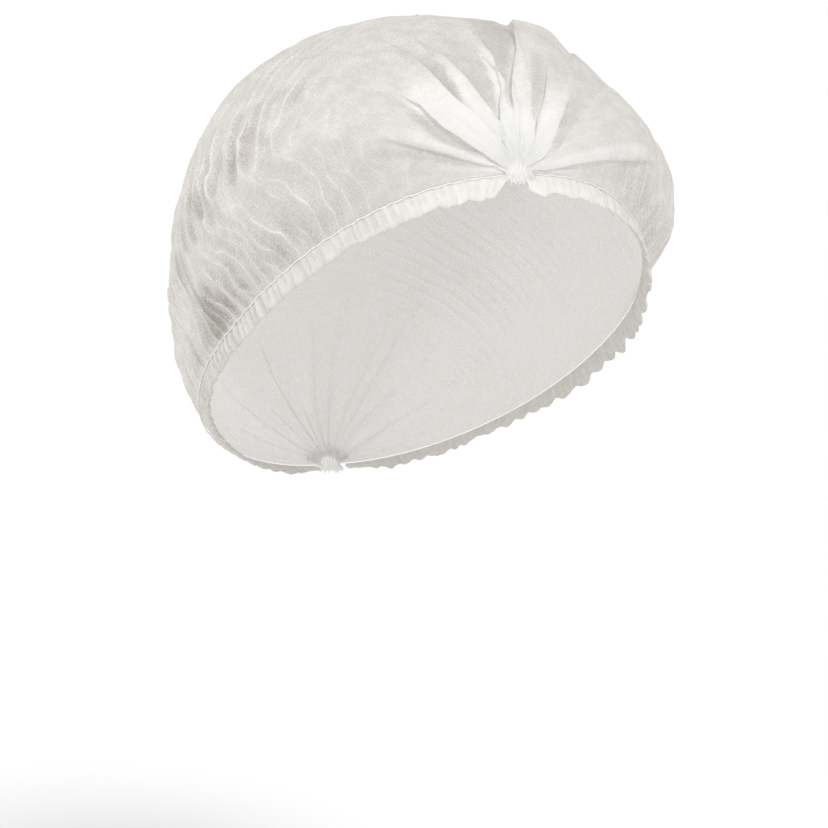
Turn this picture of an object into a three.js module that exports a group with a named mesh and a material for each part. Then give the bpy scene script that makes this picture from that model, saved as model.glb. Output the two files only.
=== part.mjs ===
// A disposable hair cover cap, in the shape it takes on a head. One sheet of thin pleated cloth is
// gathered to a welded end at the forehead and another at the nape. Between the ends it stands up as
// a puffed crown. Each long edge is folded into a ruffled hem, and an elastic cord is stitched along
// the top of that hem. The cap faces -Y, +X is the wearer's left, and the origin is the middle of the
// head opening. The opening slopes down from the forehead to the nape.
import * as THREE from "three";

// Driving dimensions, in millimetres and degrees.
const RIM_HALF_LENGTH = 113; // from the middle of the opening to each welded end
const RIM_HALF_WIDTH = 88; // from the middle of the opening to the band over each ear
const RIM_TILT = 36.8; // slope of the opening, the forehead being the high end
const CROWN_HEIGHT = 120; // of the plain dome over the middle of the opening
const PUFF = 20; // how far the fullest cloth stands off the plain dome
const CLOTH_WALL = 1.5;
const PLEAT_LIFT = 3.4; // from the middle of the cloth to the crest of a pleat
const GATHER_DEPTH = 2.2; // in and out of the small folds above the elastic
const GATHER_REACH = 24; // how far up the crown those folds fade out
const GATHERS = 22; // folds above the elastic on each side
const HEM_HEIGHT = 9.5;
const HEM_WALL = 2;
const HEM_RUFFLE = 0.9; // in and out of the hem's own ruffles
const RUFFLES = 26; // ruffles of each hem
const HEM_LEAN = 38; // degrees that the hem curls in under the nape
const ELASTIC_DIAMETER = 1.2;
const WELD_HALF_WIDTH = 6.5;
const WELD_DROP = 6; // from the middle of a weld to its frayed lower edge
const WELD_THICKNESS = 5;
const WELD_RIB = 0.6; // height of the ribs that the fused pleats leave on a weld
const SEAM_GAP = 0.3; // between pieces that touch on the real cap

// How far the crown stands off the plain dome, as shares of PUFF, in rows from the forehead end
// (along 0) to the nape end (along 1), and in columns that go up from the rim to the top.
const FULLNESS = [
  { along: 0.0, rim: 0, side: 0, shoulder: 0, top: 0 },
  { along: 0.08, rim: 0, side: 0.4, shoulder: 0.4, top: 0.3 },
  { along: 0.2, rim: 0, side: 1.0, shoulder: 0.8, top: 0.6 },
  { along: 0.33, rim: 0, side: 1.0, shoulder: 0.85, top: 0.45 },
  { along: 0.5, rim: 0, side: 0.6, shoulder: 0.45, top: 0.1 },
  { along: 0.67, rim: 0, side: 0.35, shoulder: 0.2, top: 0.05 },
  { along: 0.8, rim: 0, side: 0.3, shoulder: 0.2, top: 0.2 },
  { along: 0.92, rim: 0, side: 0.2, shoulder: 0.15, top: 0.2 },
  { along: 1.0, rim: 0, side: 0, shoulder: 0, top: 0 },
];
const COLUMN_AT = { rim: 0, side: 0.122, shoulder: 0.278, top: 0.5 }; // shares of the way across

// Pleats that fan out of the two ends. across is where the crest lies, from the wearer's right hem (0)
// to the left one (1). lift is a share of PLEAT_LIFT, and front and rear say how far along the crown
// the pleat runs before it fades, counted from each end.
const PLEATS = [
  { across: 0.05, lift: 0.5, front: 0.16, rear: 0.16 },
  { across: 0.13, lift: 0.7, front: 0.24, rear: 0.2 },
  { across: 0.22, lift: 0.9, front: 0.26, rear: 0.24 },
  { across: 0.31, lift: 1.0, front: 0.34, rear: 0.22 },
  { across: 0.4, lift: 1.1, front: 0.36, rear: 0.26 },
  { across: 0.5, lift: 1.0, front: 0.34, rear: 0.24 },
  { across: 0.575, lift: 1.1, front: 0.36, rear: 0.22 },
  { across: 0.64, lift: 1.7, front: 0.4, rear: 0.26 },
  { across: 0.705, lift: 1.1, front: 0.3, rear: 0.24 },
  { across: 0.78, lift: 0.8, front: 0.24, rear: 0.22 },
  { across: 0.86, lift: 0.7, front: 0.2, rear: 0.2 },
  { across: 0.95, lift: 0.5, front: 0.16, rear: 0.16 },
];
// The section of one pleat, from its valley up over the crest: at is the share of the way from this
// valley to the next, and lift is a share of the pleat's own lift.
const PLEAT_SECTION = [
  { at: 0, lift: -1.4 },
  { at: 0.22, lift: 0.05 },
  { at: 0.5, lift: 0.45 },
  { at: 0.78, lift: 0.15 },
];

// How the band bends out of the flat of the opening, from the forehead (along 0) to the nape
// (along 1): up at both ends and down over the ears. rise is a share of HEM_HEIGHT.
const BAND = [
  { along: 0, rise: 0.27 },
  { along: 0.12, rise: 0.3 },
  { along: 0.25, rise: 0.12 },
  { along: 0.35, rise: -0.12 },
  { along: 0.44, rise: -0.28 },
  { along: 0.55, rise: -0.15 },
  { along: 0.75, rise: 0.05 },
  { along: 1, rise: 0.25 },
];

// Broad swellings and dents of the crown. spread is the half width, as a share of the cap's length,
// and lift is a share of PUFF.
const DENTS = [
  { along: 0.37, across: 0.95, spread: 0.09, lift: 0.5 },
  { along: 0.26, across: 0.87, spread: 0.05, lift: -0.2 },
  { along: 0.24, across: 0.72, spread: 0.05, lift: -0.12 },
  { along: 0.25, across: 0.64, spread: 0.05, lift: 0.28 },
  { along: 0.28, across: 0.585, spread: 0.04, lift: -0.3 },
  { along: 0.35, across: 0.42, spread: 0.06, lift: -0.1 },
  { along: 0.44, across: 0.25, spread: 0.1, lift: 0.18 },
  { along: 0.58, across: 0.15, spread: 0.09, lift: -0.1 },
  { along: 0.84, across: 0.3, spread: 0.1, lift: 0.15 },
  { along: 0.8, across: 0.75, spread: 0.1, lift: 0.15 },
];

// The fineness of the faceted surfaces.
const ROWS_PER_GATHER = 2;
const HEM_STEPS_PER_RUFFLE = 2;
const ELASTIC_STEPS = 44;
const ELASTIC_SIDES = 6;
const WELD_STEPS = 28;

const half = (x) => x / 2;
const sumOver = (rows, share) => rows.reduce((sum, row) => sum + share(row), 0);
const smooth = (t) => {
  const x = THREE.MathUtils.clamp(t, 0, 1);
  return x * x * (3 - 2 * x);
};

// A smooth curve through (xs, ys), read at x.
function curveAt(xs, ys, x) {
  const last = xs.length - 1;
  const i = Math.min(Math.max(xs.findIndex((v) => v > x) - 1, 0), last - 1);
  const k = x >= xs[last] ? last - 1 : i;
  const slope = (j) => {
    const [a, b] = [Math.max(j - 1, 0), Math.min(j + 1, last)];
    return (ys[b] - ys[a]) / (xs[b] - xs[a]);
  };
  const h = xs[k + 1] - xs[k];
  const t = (x - xs[k]) / h;
  return (
    ys[k] * (2 * t ** 3 - 3 * t ** 2 + 1) +
    slope(k) * h * (t ** 3 - 2 * t ** 2 + t) +
    ys[k + 1] * (3 * t ** 2 - 2 * t ** 3) +
    slope(k + 1) * h * (t ** 3 - t ** 2)
  );
}

// The share of PUFF that the crown stands off the plain dome.
function fullness(along, across) {
  const up = Math.min(across, 1 - across);
  const names = Object.keys(COLUMN_AT);
  const alongs = FULLNESS.map((row) => row.along);
  const values = names.map((name) =>
    curveAt(alongs, FULLNESS.map((row) => row[name]), along),
  );
  // Mirrored over the top, so that the crown is smooth there.
  const xs = names.map((name) => COLUMN_AT[name]);
  xs.push(1 - COLUMN_AT.shoulder);
  values.push(values[names.indexOf("shoulder")]);
  return curveAt(xs, values, up);
}

// The distance from the middle of the opening to the plain dome, in the direction of this point.
function domeRadius(along, across) {
  const [theta, phi] = [Math.PI * along, Math.PI * across];
  return (
    1 /
    Math.hypot(
      Math.cos(theta) / RIM_HALF_LENGTH,
      (Math.sin(theta) * Math.cos(phi)) / RIM_HALF_WIDTH,
      (Math.sin(theta) * Math.sin(phi)) / CROWN_HEIGHT,
    )
  );
}

// A point at that radius: Y runs along the opening to the nape, and Z straight out of its plane.
function pointAtRadius(along, across, radius) {
  const [theta, phi] = [Math.PI * along, Math.PI * across];
  return new THREE.Vector3(
    -radius * Math.sin(theta) * Math.cos(phi),
    -radius * Math.cos(theta),
    radius * Math.sin(theta) * Math.sin(phi),
  );
}

// The columns of the crown: four to a pleat, and the last one at the left hem.
function crownColumns() {
  const valleys = PLEATS.map((pleat, k) =>
    k ? (PLEATS[k - 1].across + pleat.across) / 2 : 0,
  ).concat(1);
  const columns = PLEATS.flatMap((pleat, k) =>
    PLEAT_SECTION.map((part) => ({
      across: valleys[k] + part.at * (valleys[k + 1] - valleys[k]),
      lift: part.lift,
      pleat,
    })),
  );
  return [...columns, { across: 1, lift: 0, pleat: PLEATS[PLEATS.length - 1] }];
}

// How far a pleat stands up here: none at the welds, full a little further on, then fading.
function pleatLift(column, along) {
  const rise = 0.1;
  const from = (distance, reach) =>
    smooth(distance / rise) * smooth((reach + rise - distance) / reach);
  const shares = from(along, column.pleat.front) + from(1 - along, column.pleat.rear);
  const clearOfHem = smooth(Math.min(column.across, 1 - column.across) / COLUMN_AT.side);
  return PLEAT_LIFT * column.pleat.lift * column.lift * shares * clearOfHem;
}

function dentLift(along, across) {
  return (
    PUFF *
    sumOver(DENTS, (dent) => {
      const sideways = (across - dent.across) * Math.sin(Math.PI * dent.along);
      const away = Math.hypot(along - dent.along, sideways) / dent.spread;
      return dent.lift * Math.exp(-half(away * away));
    })
  );
}

// The folds above the elastic: every other row stands out. They grow from the hem, and fade up the
// crown and towards both ends.
function gatherLift(along, across, wave) {
  const radius = domeRadius(along, across);
  const up = Math.min(across, 1 - across) * Math.PI * radius * Math.sin(Math.PI * along);
  const shown = smooth((3 * up) / GATHER_REACH) * Math.exp(-up / GATHER_REACH);
  return GATHER_DEPTH * wave * Math.sin(Math.PI * along) * shown;
}

function crownPoint(along, column, wave) {
  const plain = domeRadius(along, column.across);
  const stands = PUFF * fullness(along, column.across);
  const folds =
    pleatLift(column, along) +
    dentLift(along, column.across) * smooth(stands / half(PUFF)) +
    gatherLift(along, column.across, wave);
  const point = pointAtRadius(along, column.across, plain + stands + folds);
  point.z += SEAM_GAP + half(CLOTH_WALL);
  return point;
}

// The band's bends, which fade up the crown.
function bent(point) {
  const share = THREE.MathUtils.clamp(-point.y / RIM_HALF_LENGTH, -1, 1);
  const alongs = BAND.map((row) => row.along);
  const rises = BAND.map((row) => row.rise);
  const rise = HEM_HEIGHT * curveAt(alongs, rises, Math.acos(share) / Math.PI);
  point.z += rise * (1 - smooth(point.z / CROWN_HEIGHT));
  return point;
}

// A closed wall of even thickness round a grid of points, whose faces look out.
function wallGeometry(grid, thickness) {
  const rows = grid.length;
  const columns = grid[0].length;
  const at = (i, j) =>
    grid[THREE.MathUtils.clamp(i, 0, rows - 1)][THREE.MathUtils.clamp(j, 0, columns - 1)];
  const positions = [];
  for (const side of [1, -1]) {
    for (let i = 0; i < rows; i++) {
      for (let j = 0; j < columns; j++) {
        const alongRow = at(i, j + 1).clone().sub(at(i, j - 1));
        const alongColumn = at(i + 1, j).clone().sub(at(i - 1, j));
        const normal = alongColumn.cross(alongRow).normalize();
        const point = at(i, j).clone().addScaledVector(normal, side * half(thickness));
        positions.push(point.x, point.y, point.z);
      }
    }
  }
  const outer = (i, j) => i * columns + j;
  const inner = (i, j) => rows * columns + outer(i, j);
  const index = [];
  const quad = (a, b, c, d) => index.push(a, b, c, a, c, d);
  for (let i = 0; i + 1 < rows; i++) {
    for (let j = 0; j + 1 < columns; j++) {
      quad(outer(i, j), outer(i + 1, j), outer(i + 1, j + 1), outer(i, j + 1));
      quad(inner(i, j), inner(i, j + 1), inner(i + 1, j + 1), inner(i + 1, j));
    }
    quad(outer(i, 0), inner(i, 0), inner(i + 1, 0), outer(i + 1, 0));
    const j = columns - 1;
    quad(outer(i, j), outer(i + 1, j), inner(i + 1, j), inner(i, j));
  }
  for (let j = 0; j + 1 < columns; j++) {
    quad(outer(0, j), outer(0, j + 1), inner(0, j + 1), inner(0, j));
    const i = rows - 1;
    quad(outer(i, j), inner(i, j), inner(i, j + 1), outer(i, j + 1));
  }
  return closedGeometry(positions, index);
}

// A closed tube whose sections are rings of as many points each, whose faces look out.
function ringsGeometry(rings) {
  const sides = rings[0].length;
  const positions = rings.flat().flatMap((point) => point.toArray());
  const index = [];
  for (let i = 0; i + 1 < rings.length; i++) {
    for (let j = 0; j < sides; j++) {
      const [a, b] = [i * sides + j, i * sides + ((j + 1) % sides)];
      index.push(a, b, b + sides, a, b + sides, a + sides);
    }
  }
  const last = (rings.length - 1) * sides;
  for (let j = 1; j + 1 < sides; j++) {
    index.push(0, j + 1, j, last, last + j, last + j + 1);
  }
  return closedGeometry(positions, index);
}

function closedGeometry(positions, index) {
  const geometry = new THREE.BufferGeometry();
  geometry.setAttribute("position", new THREE.Float32BufferAttribute(positions, 3));
  geometry.setIndex(index);
  geometry.computeVertexNormals();
  return geometry;
}

// The crown, open below and at both welds.
function crownGeometry() {
  const clearOfWeld = WELD_HALF_WIDTH + SEAM_GAP;
  const first = Math.asin(clearOfWeld / RIM_HALF_LENGTH) / Math.PI;
  const columns = crownColumns();
  const steps = GATHERS * ROWS_PER_GATHER;
  const grid = Array.from({ length: steps + 1 }, (_, i) => {
    const along = THREE.MathUtils.lerp(first, 1 - first, i / steps);
    const wave = i % ROWS_PER_GATHER ? 1 : -1;
    return columns.map((column) => bent(crownPoint(along, column, wave)));
  });
  return wallGeometry(grid, CLOTH_WALL);
}

// A place on the rim, with the directions out of the opening and along the rim. side is -1 on the
// wearer's right and 1 on the left, and share runs from the forehead weld to the nape weld.
function rimPlace(side, share) {
  const clear = Math.asin((WELD_HALF_WIDTH + SEAM_GAP) / RIM_HALF_WIDTH);
  const turn = THREE.MathUtils.lerp(clear, Math.PI - clear, share);
  const point = new THREE.Vector3(
    side * RIM_HALF_WIDTH * Math.sin(turn),
    -RIM_HALF_LENGTH * Math.cos(turn),
    0,
  );
  const out = new THREE.Vector3(
    (side * Math.sin(turn)) / RIM_HALF_WIDTH,
    -Math.cos(turn) / RIM_HALF_LENGTH,
    0,
  ).normalize();
  return { point: bent(point), out };
}

// The hem's two narrow ends and its curl under the nape, as shares of the way round the rim.
const HEM_TAPER = 0.07;
const HEM_END = 0.5; // height there, as a share of HEM_HEIGHT
const CURL_FROM = 0.5;
const CURL_TO = 0.78;

// The hem's section: out is across its wall, as shares of HEM_WALL, and down as shares of HEM_HEIGHT.
const HEM_SECTION = [
  { out: -0.5, down: 0 },
  { out: 0.5, down: 0 },
  { out: 0.62, down: 0.5 },
  { out: 0.4, down: 0.94 },
  { out: 0, down: 1 },
  { out: -0.4, down: 0.94 },
];

// A ruffled hem: every other section stands in and out, and its lower edge dips and rises. It is
// narrow at both welds, and curls in under the nape.
function hemGeometry(side) {
  const steps = RUFFLES * HEM_STEPS_PER_RUFFLE;
  const rings = Array.from({ length: steps + 1 }, (_, i) => {
    const share = i / steps;
    const { point, out } = rimPlace(side, share);
    const wave = i % HEM_STEPS_PER_RUFFLE ? 1 : -1;
    const full = smooth(share / HEM_TAPER) * smooth((1 - share) / HEM_TAPER);
    const height = HEM_HEIGHT * THREE.MathUtils.lerp(HEM_END, 1, full);
    const curl = smooth((share - CURL_FROM) / (CURL_TO - CURL_FROM));
    const lean = THREE.MathUtils.degToRad(HEM_LEAN) * curl;
    const ring = HEM_SECTION.map((corner) => {
      const down = corner.down * height;
      const ruffle = HEM_RUFFLE * wave * corner.down * full;
      const away = corner.out * HEM_WALL + ruffle - down * Math.sin(lean);
      const place = point.clone().addScaledVector(out, away);
      place.z -= down * Math.cos(lean) - half(ruffle) * corner.down;
      return place;
    });
    return side < 0 ? ring.reverse() : ring;
  });
  return ringsGeometry(rings);
}

// The elastic cord, stitched round the outside of the hem's upper edge.
function elasticGeometry(side) {
  const radius = half(ELASTIC_DIAMETER);
  const offset = half(HEM_WALL + HEM_RUFFLE) + SEAM_GAP + radius;
  const rings = Array.from({ length: ELASTIC_STEPS + 1 }, (_, i) => {
    const { point, out } = rimPlace(side, i / ELASTIC_STEPS);
    const ring = Array.from({ length: ELASTIC_SIDES }, (_, j) => {
      const turn = (2 * Math.PI * j) / ELASTIC_SIDES;
      const place = point.clone().addScaledVector(out, offset + radius * Math.cos(turn));
      place.z -= radius + SEAM_GAP - radius * Math.sin(turn);
      return place;
    });
    return side > 0 ? ring.reverse() : ring;
  });
  return ringsGeometry(rings);
}

// A welded end: the fused stack of pleats, ribbed at the top and frayed into small points below.
function weldGeometry() {
  const outline = new THREE.Shape(
    Array.from({ length: WELD_STEPS }, (_, k) => {
      const turn = (2 * Math.PI * k) / WELD_STEPS;
      const rib = k % 2 ? WELD_RIB : 0;
      const reach = turn < Math.PI ? WELD_HALF_WIDTH : WELD_DROP;
      return new THREE.Vector2(
        (WELD_HALF_WIDTH - rib) * Math.cos(turn),
        (reach - rib) * Math.sin(turn),
      );
    }),
  );
  const geometry = new THREE.ExtrudeGeometry(outline, {
    depth: WELD_THICKNESS,
    bevelEnabled: false,
  });
  geometry.translate(0, 0, -half(WELD_THICKNESS));
  geometry.rotateX(half(Math.PI));
  return geometry;
}

const cloth = new THREE.MeshStandardMaterial({
  name: "cloth",
  color: 0xeeece8,
  roughness: 0.92,
  metalness: 0,
  transparent: true,
  opacity: 0.7,
});
const hemCloth = new THREE.MeshStandardMaterial({
  name: "hem_cloth",
  color: 0xf2efea,
  roughness: 0.9,
  metalness: 0,
});
const elastic = new THREE.MeshStandardMaterial({
  name: "elastic",
  color: 0xf6f3ee,
  roughness: 0.7,
  metalness: 0,
});
const weld = new THREE.MeshStandardMaterial({
  name: "weld",
  color: 0xf4f4f2,
  roughness: 0.6,
  metalness: 0,
});

function piece(name, geometry, material) {
  const mesh = new THREE.Mesh(geometry, material);
  mesh.name = name;
  return mesh;
}

const cap = new THREE.Group();
cap.rotation.x = -THREE.MathUtils.degToRad(RIM_TILT);
cap.add(piece("crown", crownGeometry(), cloth));
for (const [name, side] of Object.entries({ right: -1, left: 1 })) {
  cap.add(piece(`hem_${name}`, hemGeometry(side), hemCloth));
  cap.add(piece(`elastic_${name}`, elasticGeometry(side), elastic));
}
for (const [name, end] of Object.entries({ front: -1, rear: 1 })) {
  const mesh = piece(`weld_${name}`, weldGeometry(), weld);
  mesh.position.copy(bent(new THREE.Vector3(0, end * RIM_HALF_LENGTH, 0)));
  cap.add(mesh);
}

const model = new THREE.Group();
model.add(cap);
export default model;
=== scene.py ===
"""Looks of a disposable hair cover cap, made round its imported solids."""

import math

import bpy
import numpy as np
from mathutils import Matrix, Vector


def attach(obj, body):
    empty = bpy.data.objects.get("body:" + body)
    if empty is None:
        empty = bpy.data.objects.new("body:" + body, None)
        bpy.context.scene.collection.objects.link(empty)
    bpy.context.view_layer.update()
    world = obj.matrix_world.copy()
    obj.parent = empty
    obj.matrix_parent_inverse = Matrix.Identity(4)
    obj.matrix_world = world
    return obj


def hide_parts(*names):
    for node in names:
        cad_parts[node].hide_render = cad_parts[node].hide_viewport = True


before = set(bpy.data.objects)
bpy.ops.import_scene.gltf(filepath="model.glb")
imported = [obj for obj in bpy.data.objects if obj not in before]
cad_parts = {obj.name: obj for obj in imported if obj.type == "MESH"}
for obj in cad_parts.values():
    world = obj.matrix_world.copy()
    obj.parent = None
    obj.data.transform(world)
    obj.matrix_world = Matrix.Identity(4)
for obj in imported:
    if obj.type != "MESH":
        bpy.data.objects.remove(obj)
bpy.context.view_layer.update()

# Sizes are in millimetres. These are the same as those of the solids.
MM = 0.001
RIM_HALF_LENGTH = 113.0
RIM_HALF_WIDTH = 88.0
RIM_TILT = math.radians(36.8)
CROWN_HEIGHT = 120.0
PUFF = 20.0
PLEAT_LIFT = 3.4
PLEAT_RISE = 0.1
HEM_HEIGHT = 9.5
HEM_TAPER = 0.07
HEM_END = 0.5
HEM_LEAN = math.radians(38)
CURL_FROM, CURL_TO = 0.5, 0.78
WELD_HALF_WIDTH = 6.5
SEAM_GAP = 0.3

# How far the crown stands off the dome, as a share of PUFF: along, rim, side, shoulder, top.
FULLNESS = np.array(
    [
        (0.00, 0, 0.00, 0.00, 0.00),
        (0.08, 0, 0.40, 0.40, 0.30),
        (0.20, 0, 1.00, 0.80, 0.60),
        (0.33, 0, 1.00, 0.85, 0.45),
        (0.50, 0, 0.60, 0.45, 0.10),
        (0.67, 0, 0.35, 0.20, 0.05),
        (0.80, 0, 0.30, 0.20, 0.20),
        (0.92, 0, 0.20, 0.15, 0.20),
        (1.00, 0, 0.00, 0.00, 0.00),
    ]
)
FULLNESS_AT = [0.0, 0.122, 0.278, 0.5]

# Dents and bulges: along, across, spread, lift as a share of PUFF.
DENTS = [
    (0.37, 0.95, 0.09, 0.5),
    (0.26, 0.87, 0.05, -0.2),
    (0.24, 0.72, 0.05, -0.12),
    (0.25, 0.64, 0.05, 0.28),
    (0.28, 0.585, 0.04, -0.3),
    (0.35, 0.42, 0.06, -0.1),
    (0.44, 0.25, 0.1, 0.18),
    (0.58, 0.15, 0.09, -0.1),
    (0.84, 0.3, 0.1, 0.15),
    (0.8, 0.75, 0.1, 0.15),
]

# The band's bends: along, rise as a share of HEM_HEIGHT.
BAND = np.array(
    [
        (0.00, 0.27),
        (0.12, 0.30),
        (0.25, 0.12),
        (0.35, -0.12),
        (0.44, -0.28),
        (0.55, -0.15),
        (0.75, 0.05),
        (1.00, 0.25),
    ]
)

# Soft pleats that fan out from the welds: across, lift, reach from the front, reach from the rear.
PLEATS = [
    (0.05, 0.5, 0.16, 0.16),
    (0.13, 0.7, 0.24, 0.20),
    (0.22, 0.9, 0.26, 0.24),
    (0.31, 1.0, 0.34, 0.22),
    (0.40, 1.1, 0.36, 0.26),
    (0.50, 1.0, 0.34, 0.24),
    (0.575, 1.1, 0.36, 0.22),
    (0.64, 1.7, 0.40, 0.26),
    (0.705, 1.1, 0.30, 0.24),
    (0.78, 0.8, 0.24, 0.22),
    (0.86, 0.7, 0.20, 0.20),
    (0.95, 0.5, 0.16, 0.16),
]

# Folds where one layer lies over the next. side is the way the upper layer lies from its edge: -1 towards
# the lower across, 1 towards the higher. The edge is given as points of along and across.
FOLDS = [
    # side, width mm, height mm, start, reach, edge
    (1, 2.6, 2.0, 0.06, 0.25,
     [(0.024, 0.5), (0.045, 0.521), (0.077, 0.539), (0.105, 0.551), (0.155, 0.576), (0.24, 0.6)]),
    (-1, 1.8, 1.8, 0.004, 0.16,
     [(0.03, 0.72), (0.04, 0.693), (0.068, 0.633), (0.117, 0.62), (0.2, 0.618)]),
    (1, 1.6, 1.2, 0.03, 0.13,
     [(0.04, 0.69), (0.068, 0.668), (0.092, 0.668), (0.129, 0.652), (0.17, 0.64)]),
    (-1, 3.0, 1.4, 0.004, 0.12,
     [(0.03, 0.88), (0.039, 0.857), (0.054, 0.805), (0.073, 0.768), (0.13, 0.735)]),
    (-1, 1.4, 1.5, 0.072, 0.18,
     [(0.03, 0.49), (0.057, 0.515), (0.08, 0.53), (0.105, 0.541),
      (0.133, 0.53), (0.163, 0.52), (0.2, 0.518)]),
    (1, 1.4, 1.1, 0.02, 0.16,
     [(0.024, 0.37), (0.037, 0.406), (0.053, 0.449), (0.07, 0.477), (0.102, 0.5), (0.197, 0.515)]),
    (-1, 3.0, 1.2, 0.004, 0.18,
     [(0.03, 0.43), (0.041, 0.447), (0.058, 0.445), (0.076, 0.425), (0.124, 0.416), (0.2, 0.41)]),
    (-1, 2.4, 2.0, 0.004, 0.19,
     [(0.03, 0.35), (0.052, 0.35), (0.09, 0.325), (0.114, 0.334), (0.155, 0.356), (0.2, 0.37)]),
    (1, 2.6, 2.0, 0.004, 0.12,
     [(0.016, 0.077), (0.039, 0.136), (0.086, 0.178), (0.116, 0.223), (0.16, 0.24)]),
    (1, 2.4, 0.8, 0.01, 0.12,
     [(0.018, 0.055), (0.039, 0.066), (0.078, 0.085), (0.109, 0.093), (0.15, 0.095)]),
    (-1, 3.0, 1.6, 0.004, 0.2,
     [(0.036, 0.98), (0.069, 0.96), (0.095, 0.952), (0.125, 0.945), (0.162, 0.941), (0.2, 0.937)]),
]
REAR_FOLDS = [
    # side, width mm, height mm, reach, across
    (1, 1.3, 1.2, 0.09, 0.10),
    (1, 1.6, 1.4, 0.15, 0.19),
    (1, 1.3, 1.2, 0.11, 0.28),
    (1, 1.7, 1.4, 0.18, 0.37),
    (1, 1.3, 1.2, 0.10, 0.44),
    (-1, 1.5, 1.4, 0.16, 0.53),
    (-1, 1.3, 1.2, 0.11, 0.60),
    (-1, 1.7, 1.4, 0.17, 0.69),
    (-1, 1.3, 1.2, 0.12, 0.79),
    (-1, 1.5, 1.4, 0.14, 0.89),
]
# Light and dark bands by the front weld, from more or fewer layers of cloth, painted shade in gaps and
# creases and painted highlight on ridges: tone, then along, across
# and half width in mm at each place.
STREAKS = [
    (0.15,
     [(0.02, 0.56, 3.0), (0.045, 0.598, 4.0), (0.077, 0.586, 3.9), (0.105, 0.586, 4.3),
      (0.2, 0.607, 4.6)]),
    (0.2, [(0.215, 0.611, 4.8), (0.26, 0.625, 5.2)]),
    (-0.6,
     [(0.11, 0.546, 0.5), (0.133, 0.5465, 2.4), (0.163, 0.549, 5.0), (0.191, 0.5555, 7.0),
      (0.23, 0.56, 9.0)]),
    (0.4,
     [(0.04, 0.46, 1.4), (0.057, 0.489, 2.0), (0.101, 0.5215, 2.3), (0.133, 0.515, 2.2),
      (0.17, 0.514, 1.5)]),
    (-0.4,
     [(0.06, 0.45, 0.8), (0.07, 0.455, 1.7), (0.102, 0.4585, 4.6), (0.131, 0.457, 6.0),
      (0.17, 0.459, 8.0)]),
    (0.5,
     [(0.03, 0.4, 2.0), (0.058, 0.4, 3.0), (0.076, 0.385, 3.4), (0.1, 0.39, 3.0), (0.137, 0.4025, 2.0)]),
    (-0.8,
     [(0.09, 0.337, 0.8), (0.1, 0.3455, 1.8), (0.114, 0.3535, 2.4), (0.137, 0.368, 3.2),
      (0.165, 0.376, 2.6)]),
    (0.55,
     [(0.02, 0.24, 3.0), (0.039, 0.243, 4.6), (0.063, 0.25, 6.4), (0.086, 0.2525, 7.0),
      (0.13, 0.285, 7.6)]),
    # Painted shadow below the lower edge of a fold.
    (-0.6,
     [(0.036, 0.12, 0.5), (0.063, 0.14, 1.4), (0.086, 0.155, 2.2), (0.11, 0.193, 2.2),
      (0.13, 0.212, 1.4)]),
    # Painted light on the fold below it.
    (0.25,
     [(0.03, 0.09, 0.8), (0.06, 0.105, 1.3), (0.085, 0.118, 1.8), (0.11, 0.13, 2.2),
      (0.14, 0.135, 2.0)]),
    # Painted shade in a crease.
    (-0.45,
     [(0.036, 0.06, 0.5), (0.06, 0.068, 0.9), (0.078, 0.077, 1.0), (0.109, 0.085, 1.2),
      (0.15, 0.088, 1.2)]),
    (-0.4,
     [(0.058, 0.657, 0.5), (0.068, 0.65, 1.3), (0.092, 0.647, 2.1), (0.129, 0.636, 2.3),
      (0.155, 0.631, 2.0)]),
    (0.3,
     [(0.03, 0.79, 3.0), (0.053, 0.738, 4.0), (0.068, 0.7225, 4.1), (0.092, 0.709, 4.1),
      (0.115, 0.697, 4.2)]),
    (-0.4, [(0.045, 0.86, 1.0), (0.07, 0.8, 2.2), (0.094, 0.775, 3.0), (0.12, 0.765, 3.4)]),
    # Painted highlight on the ridge above the crease on the right.
    (0.45,
     [(0.045, 0.955, 1.4), (0.069, 0.943, 1.8), (0.095, 0.935, 1.9), (0.125, 0.929, 2.0),
      (0.19, 0.921, 1.8)]),
    # Painted shadow below that crease.
    (-0.2,
     [(0.06, 0.976, 0.8), (0.095, 0.969, 1.6), (0.125, 0.963, 2.0), (0.162, 0.96, 2.2),
      (0.2, 0.955, 2.0)]),
]
STREAK_FADE = 0.03
FOLD_SWING = 2.5
FOLD_EDGE = 0.67
REAR_SWING = 0.35
REAR_START = 0.004

# Lengths along the rim and over the top, from weld to weld, and of each hem.
RIM_ARC = 317.0
TOP_ARC = 361
HEM_LENGTH = 300

# The gathers above the elastic: along, then their lean or their strength there.
RIDGE_SPACING = 6.6
RIDGE_LEAN = np.array(
    [(0.0, 0.15), (0.2, 0.3), (0.38, 0.75), (0.44, 0.3), (0.5, -0.55), (0.7, -0.2), (1.0, 0.0)]
)
RIDGE_STRENGTH = np.array(
    [
        (0.0, 0.0),
        (0.07, 0.05),
        (0.15, 0.15),
        (0.21, 0.55),
        (0.27, 1.0),
        (0.5, 1.0),
        (0.6, 0.55),
        (0.8, 0.5),
        (1.0, 0.0),
    ]
)
RIDGE_SIZES = [
    # spacing as times RIDGE_SPACING, height mm, start, full and end in mm above the elastic, swing
    (0.5, 0.25, -2, 2, 10, 0.85),
    (1, 1.35, -5, 5, 30, 0.85),
    (2, 1.7, 12, 28, 60, 0.55),
]
# The upright waves above them.
CURTAIN_SPACING = 8.5
CURTAIN_FROM = 24
CURTAIN_HEIGHT = 1.1
# How strong the painted highlight on the waves' crests and the painted shade in their hollows are.
CURTAIN_CREST, CURTAIN_HOLLOW = 0.55, 0.6
CRIMP_SPACING = 5.4
CRIMP_HEIGHT = 0.8
FINE_PLEATS = 30
FINE_PLEAT_HEIGHT = 0.28
CROWN_RAISE = 0.4

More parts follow.
